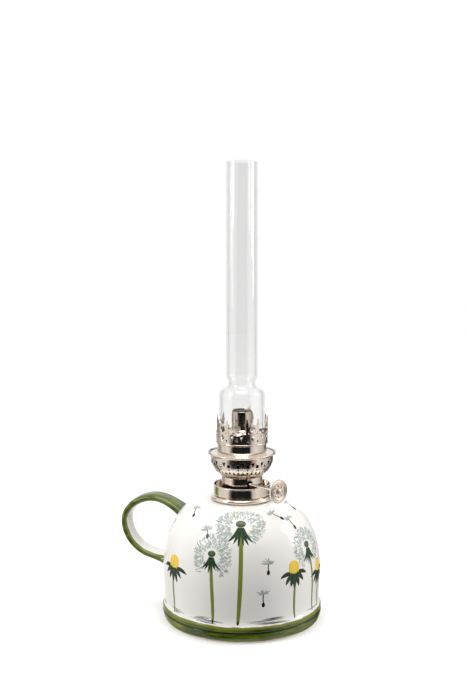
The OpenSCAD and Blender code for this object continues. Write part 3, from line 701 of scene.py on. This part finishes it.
class OILLAMP_OT_handle(bpy.types.Operator):
    """Pull the strap handle and lute it to the font"""
    bl_idname = "oillamp.handle"
    bl_label = "Strap handle"

    def execute(self, context):
        line = handle_line(context.scene.oillamp.handle_steps)
        sides, last = 40, len(line) - 1
        points, inner = [], []
        for i, (r, z) in enumerate(line):
            a, b = line[max(0, i - 1)], line[min(last, i + 1)]
            size = math.dist(a, b)
            dr, dz = (b[0] - a[0]) / size, (b[1] - a[1]) / size
            # the strap widens towards both ends and swells where its lower end meets the wall
            near = max(0.0, 1 - min(i, last - i) / (last * 0.25))
            root = max(0.0, 1 - (last - i) / (last * 0.16))
            wide = STRAP_W / 2 * (1 + 0.3 * near ** 2 + 0.10 * root ** 2)
            thick = STRAP_T / 2 * (1 + 0.3 * near ** 2 + 0.75 * root ** 2.5)
            for k in range(sides):
                turn = 2 * math.pi * k / sides
                across = wide * math.copysign(abs(math.cos(turn)) ** 0.75, math.cos(turn))
                # the outer side carries a shallow hollow between its two pressed edges
                dent = 0.35 * math.exp(-(across / (wide * 0.42)) ** 2) if math.sin(turn) > 0 else 0.0
                out = thick * math.sin(turn) - dent * max(0.0, math.sin(turn))
                points.append((-(r - dz * out), across, z + dr * out))
                inner.append(-math.sin(turn))
        faces = woven(len(line), sides, closed=True, flipped=True)
        faces.append(list(range(sides)))
        faces.append([last * sides + k for k in reversed(range(sides))])
        piece = new_piece("glazed_handle", points, faces, "font")
        store(piece, "inner", inner)
        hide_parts("handle")
        dress(piece, handle_material())
        return {"FINISHED"}


class OILLAMP_OT_brushwork(bpy.types.Operator):
    """Paint the flowers, seeds and ground strokes on the font"""
    bl_idname = "oillamp.brushwork"
    bl_label = "Painted flowers"

    def execute(self, context):
        down, green, yellow, dark = Brush(11), Brush(12), Brush(13), Brush(14)
        for clock in CLOCKS:
            paint_clock(down, green, clock)
        for bud in BUDS:
            paint_bud(green, yellow, bud)
        for seed in SEEDS:
            paint_seed(dark, down, seed)
        for start, end, z in GROUND:
            paint_ground(dark, start, end, z)
        down.piece("painted_down", "green_glaze", paint_material(
            "paint_grey", (0.0, rgb(0.26, 0.31, 0.29)), (0.5, rgb(0.42, 0.47, 0.44)),
            (1.0, rgb(0.66, 0.69, 0.66))))
        green.piece("painted_leaves", "green_glaze", paint_material(
            "paint_green", (0.0, rgb(0.006, 0.022, 0.010)), (0.25, rgb(0.020, 0.055, 0.020)),
            (0.5, rgb(0.100, 0.130, 0.060)), (0.8, rgb(0.200, 0.230, 0.030)),
            (1.0, rgb(0.300, 0.320, 0.060))))
        yellow.piece("painted_petals", "green_glaze", paint_material(
            "paint_yellow", (0.0, rgb(0.72, 0.40, 0.03)), (0.5, rgb(0.86, 0.60, 0.06)),
            (1.0, rgb(0.90, 0.72, 0.16))))
        dark.piece("painted_seeds", "green_glaze", paint_material(
            "paint_dark", (0.0, rgb(0.004, 0.004, 0.006)), (0.5, rgb(0.05, 0.06, 0.05)),
            (1.0, rgb(0.22, 0.25, 0.20))))
        return {"FINISHED"}


# Levels, in metres, below which painted shade darkens the wick tube and the inside of the basket
CROWN_FLOOR, BASKET_LIP = 0.1325, 0.1265


class OILLAMP_OT_metal(bpy.types.Operator):
    """Finish the nickel-plated burner, its brass inner works and the key"""
    bl_idname = "oillamp.metal"
    bl_label = "Burner metal"

    def execute(self, context):
        tint = rgb(*context.scene.oillamp.nickel)
        bright = nickel_material("nickel_plate", tint, 0.06)
        pressed = nickel_material("nickel_pressed", tint, 0.12)
        satin = nickel_material("nickel_satin", rgb(tint[0] * 0.97, tint[1] * 0.95, tint[2] * 0.95), 0.32)
        worn = nickel_material("nickel_worn", tint, 0.46)
        # painted shade on the hidden lower wick tube and the inside of the basket
        shaded_plate = nickel_material("nickel_painted_shade", tint, 0.06, CROWN_FLOOR, 1.0)
        basket = nickel_material("nickel_basket", tint, 0.12, BASKET_LIP)
        brass = brass_material()
        finishes = {
            "collar": bright, "burner_cup": bright, "burner_neck": bright, "gallery": bright,
            "wick_tube": shaded_plate, "air_basket": basket, "crown": pressed, "air_deflector": pressed,
            "burner_plate": pressed, "key_shaft": bright, "key_wheel": satin, "key_rivet": worn,
            "shaft_bracket": brass, "wick_guide": brass, "air_tube": brass, "air_duct": brass,
            "feed_wheels": brass,
        }
        group = smooth_group()
        for name, material in finishes.items():
            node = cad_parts[name]
            dress(node, material)
            node.modifiers.new("soft_shading", "NODES").node_group = group
        dress(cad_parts["collar_cement"], plaster_material())
        return {"FINISHED"}


class OILLAMP_OT_wick(bpy.types.Operator):
    """Weave the wick's cotton and fray its upper edge"""
    bl_idname = "oillamp.wick"
    bl_label = "Cotton wick"

    def execute(self, context):
        cotton = cotton_material()
        dress(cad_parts["wick"], cotton)
        pick = random.Random(5)
        points, faces, pale = [], [], []
        top, middle, rings, sides = 157.3, 6.2, 5, 5
        key_angle, tuft_angle = -32, -22
        for _ in range(context.scene.oillamp.fringe):
            turn = math.radians(key_angle - 90 + pick.uniform(-146, 146))
            r = middle + pick.uniform(-0.6, 0.6)
            # the threads stand up in a pale tuft on one side
            tuft = math.exp(-((math.degrees(turn) - tuft_angle) / 17) ** 2)
            tall = pick.uniform(0.2, 0.7) + 4.6 * tuft * pick.uniform(0.35, 1.0)
            lean = (pick.uniform(-0.5, 0.5) + 0.7 * tuft, pick.uniform(-0.5, 0.5) + 0.3 * tuft)
            thick = pick.uniform(0.08, 0.15) + 0.28 * tuft
            pale += [min(1.0, 1.6 * tuft)] * rings * sides
            base = len(points)
            for t in shares(rings - 1):
                x = r * math.cos(turn) + lean[0] * t * t * tall * 0.5
                y = r * math.sin(turn) + lean[1] * t * t * tall * 0.5
                size = thick * (1 - 0.7 * t)
                z = top - 0.5 + (tall + 0.5) * t
                for k in range(sides):
                    a = 2 * math.pi * k / sides
                    points.append((x + size * math.cos(a), y + size * math.sin(a), z))
            faces += woven(rings, sides, base, closed=True)
            faces.append([base + k for k in reversed(range(sides))])
            faces.append([base + (rings - 1) * sides + k for k in range(sides)])
        threads = new_piece("frayed_edge", points, faces, "wick")
        store(threads, "pale", pale)
        dress(threads, cotton)
        return {"FINISHED"}


class OILLAMP_OT_chimney(bpy.types.Operator):
    """Blow the glass chimney"""
    bl_idname = "oillamp.chimney"
    bl_label = "Glass chimney"

    def execute(self, context):
        foot, tall, wall = 134.95, 206.0, 1.3
        base, tube, choke_z = 17.2, 11.8, 43.3
        choke = tube - 1.7
        big, small = 0.845 * (base - choke), 0.563 * (base - choke)

        def side(inset):
            """The wall from the base up over the constriction, drawn in from the outside."""
            line = arc(base - big, choke_z - 0.95 * (big + small), big - inset, big - inset, 0, 70, 24)
            line += arc(choke + small, choke_z, small + inset, small + inset, 250, 140, 32)
            return line + arc(tube - 3, choke_z + 4.7, 3 - inset, 3 - inset, -40, 0, 12)

        lip, top = wall / 2, tube - 0.35
        profile = arc(base - lip, lip, lip, lip, -180, 0, 14) + side(0.0)
        profile += arc(top - lip, tall - lip, lip, lip, 0, 180, 14) + side(wall)[::-1]
        profile = [(r, z + foot) for r, z in profile]
        points, faces = revolved(profile, context.scene.oillamp.turns)
        piece = new_piece("clear_chimney", points, faces, "chimney")
        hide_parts("chimney")
        dress(piece, glass_material(rgb(*context.scene.oillamp.glass)))
        return {"FINISHED"}


def facing(right, away, up):
    """A point given to the right of the lamp, away from the front and up, in any one unit."""
    a = math.radians(FRONT)
    front = (math.cos(a), math.sin(a))
    return Vector((-front[1] * right - front[0] * away, front[0] * right - front[1] * away, up))


def cloth_ring(name, r, start, end, steps, top, material):
    """An upright cloth round the lamp between two angles, unseen by the camera itself."""
    points, turn = [], []
    levels = (-1500.0, -600.0, 200.0, top)
    for i in range(steps + 1):
        degrees = start + (end - start) * i / steps
        a = math.radians(FRONT + degrees)
        for z in levels:
            points.append((r * math.cos(a), r * math.sin(a), z))
            turn.append((degrees + 180) / 360)
    faces = woven(steps + 1, len(levels), flipped=True)
    cloth = new_piece(name, points, faces, None)
    store(cloth, "turn", turn)
    dress(cloth, material)
    cloth.visible_camera = False
    return cloth


def area_light(name, spot, aim, size, power, tint):
    light = bpy.data.lights.new(name, "AREA")
    light.shape = "RECTANGLE"
    light.size, light.size_y = size
    light.energy = power
    light.color = tint
    lamp = bpy.data.objects.new(name, light)
    lamp.location = spot
    lamp.rotation_euler = (aim - spot).to_track_quat("-Z", "Y").to_euler()
    bpy.context.scene.collection.objects.link(lamp)
    return lamp


class OILLAMP_OT_stage(bpy.types.Operator):
    """Set the table, the pale tent, the lights and the camera"""
    bl_idname = "oillamp.stage"
    bl_label = "Stage and camera"

    def execute(self, context):
        settings = context.scene.oillamp
        scene = context.scene
        near, far, wide, squares = -settings.table_front / MM, 2600.0, 2400.0, 8
        points = []
        for i in range(squares + 1):
            for k in range(squares + 1):
                p = facing(-wide + 2 * wide * k / squares, near + (far - near) * i / squares, 0.0)
                points.append((p.x, p.y, -0.02))
        table = new_piece("table", points, woven(squares + 1, squares + 1), None)
        dress(table, floor_material())
        table.visible_glossy = False
        table.visible_diffuse = False

        # a dark cloth in front takes light away there, and a graded one is what the metal mirrors
        flag = cloth_ring("front_cloth", 1350, -40, 40, 10, 760,
                          card_material("dark_cloth", (-60, 0.02), (60, 0.02)))
        flag.visible_glossy = False
        flag.visible_transmission = False
        tent = cloth_ring("graded_cloth", 1300, -156, 156, 78, 900, card_material(
            "graded_cloth", (-156, 0.90), (-142, 0.85), (-134, 0.50), (-114, 0.50), (-106, 1.0), (-92, 1.0),
            (-84, 1.0), (-60, 0.90), (-49, 0.22), (-42, 0.012), (37, 0.012), (43, 0.62), (62, 0.98),
            (100, 0.88), (120, 0.60), (134, 0.16), (156, 0.12)))
        tent.visible_diffuse = False
        tent.visible_shadow = False

        world = bpy.data.worlds.new("pale_tent")
        world.use_nodes = True
        back = world.node_tree.nodes["Background"]
        back.inputs["Color"].default_value = (1.0, 1.0, 1.0, 1.0)
        back.inputs["Strength"].default_value = settings.daylight
        scene.world = world
        aim = facing(0.0, 0.0, 0.10)
        area_light("top_box", facing(0.0, -0.1, 1.15), aim, (0.6, 0.6), 4.6, (1.0, 0.99, 0.98))
        area_light("left_box", facing(-0.80, -0.35, 0.60), aim, (0.22, 0.50), 2.4, (1.0, 0.99, 0.97))
        area_light("right_box", facing(0.85, 0.0, 0.45), aim, (0.20, 0.50), 1.8, (1.0, 0.98, 0.95))

        camera = bpy.data.cameras.new("camera")
        camera.sensor_fit = "VERTICAL"
        camera.sensor_height = 36.0
        camera.lens = 50.0
        camera.shift_x = -0.012
        camera.clip_start = 0.01
        viewer = bpy.data.objects.new("camera", camera)
        away, up, pitch = 0.72, 0.273, 5.6
        viewer.location = facing(0.0, -away, up)
        look = facing(0.0, 0.0, up - away * math.tan(math.radians(pitch)))
        viewer.rotation_euler = (look - viewer.location).to_track_quat("-Z", "Y").to_euler()
        scene.collection.objects.link(viewer)
        scene.camera = viewer
        scene.view_settings.view_transform = "Standard"
        return {"FINISHED"}


# ---------------------------------------------------------------- panel

class OILLAMP_PT_sidebar(bpy.types.Panel):
    """Lists the steps that finish the lamp"""
    bl_label = "Oil lamp"
    bl_idname = "OILLAMP_PT_sidebar"
    bl_space_type = "VIEW_3D"
    bl_region_type = "UI"
    bl_category = "Oil lamp"

    def draw(self, context):
        for name in OilLampSettings.__annotations__:
            self.layout.prop(context.scene.oillamp, name)
        for step in STEPS:
            self.layout.operator(step.bl_idname)


STEPS = (OILLAMP_OT_font, OILLAMP_OT_handle, OILLAMP_OT_brushwork, OILLAMP_OT_metal, OILLAMP_OT_wick,
         OILLAMP_OT_chimney, OILLAMP_OT_stage)
CLASSES = (OilLampSettings,) + STEPS + (OILLAMP_PT_sidebar,)


def register():
    for item in CLASSES:
        bpy.utils.register_class(item)
    bpy.types.Scene.oillamp = PointerProperty(type=OilLampSettings)


def unregister():
    del bpy.types.Scene.oillamp
    for item in reversed(CLASSES):
        bpy.utils.unregister_class(item)


def main():
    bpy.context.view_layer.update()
    register()
    for step in STEPS:
        group, name = step.bl_idname.split(".")
        getattr(getattr(bpy.ops, group), name)()


if __name__ == "__main__":
    main()
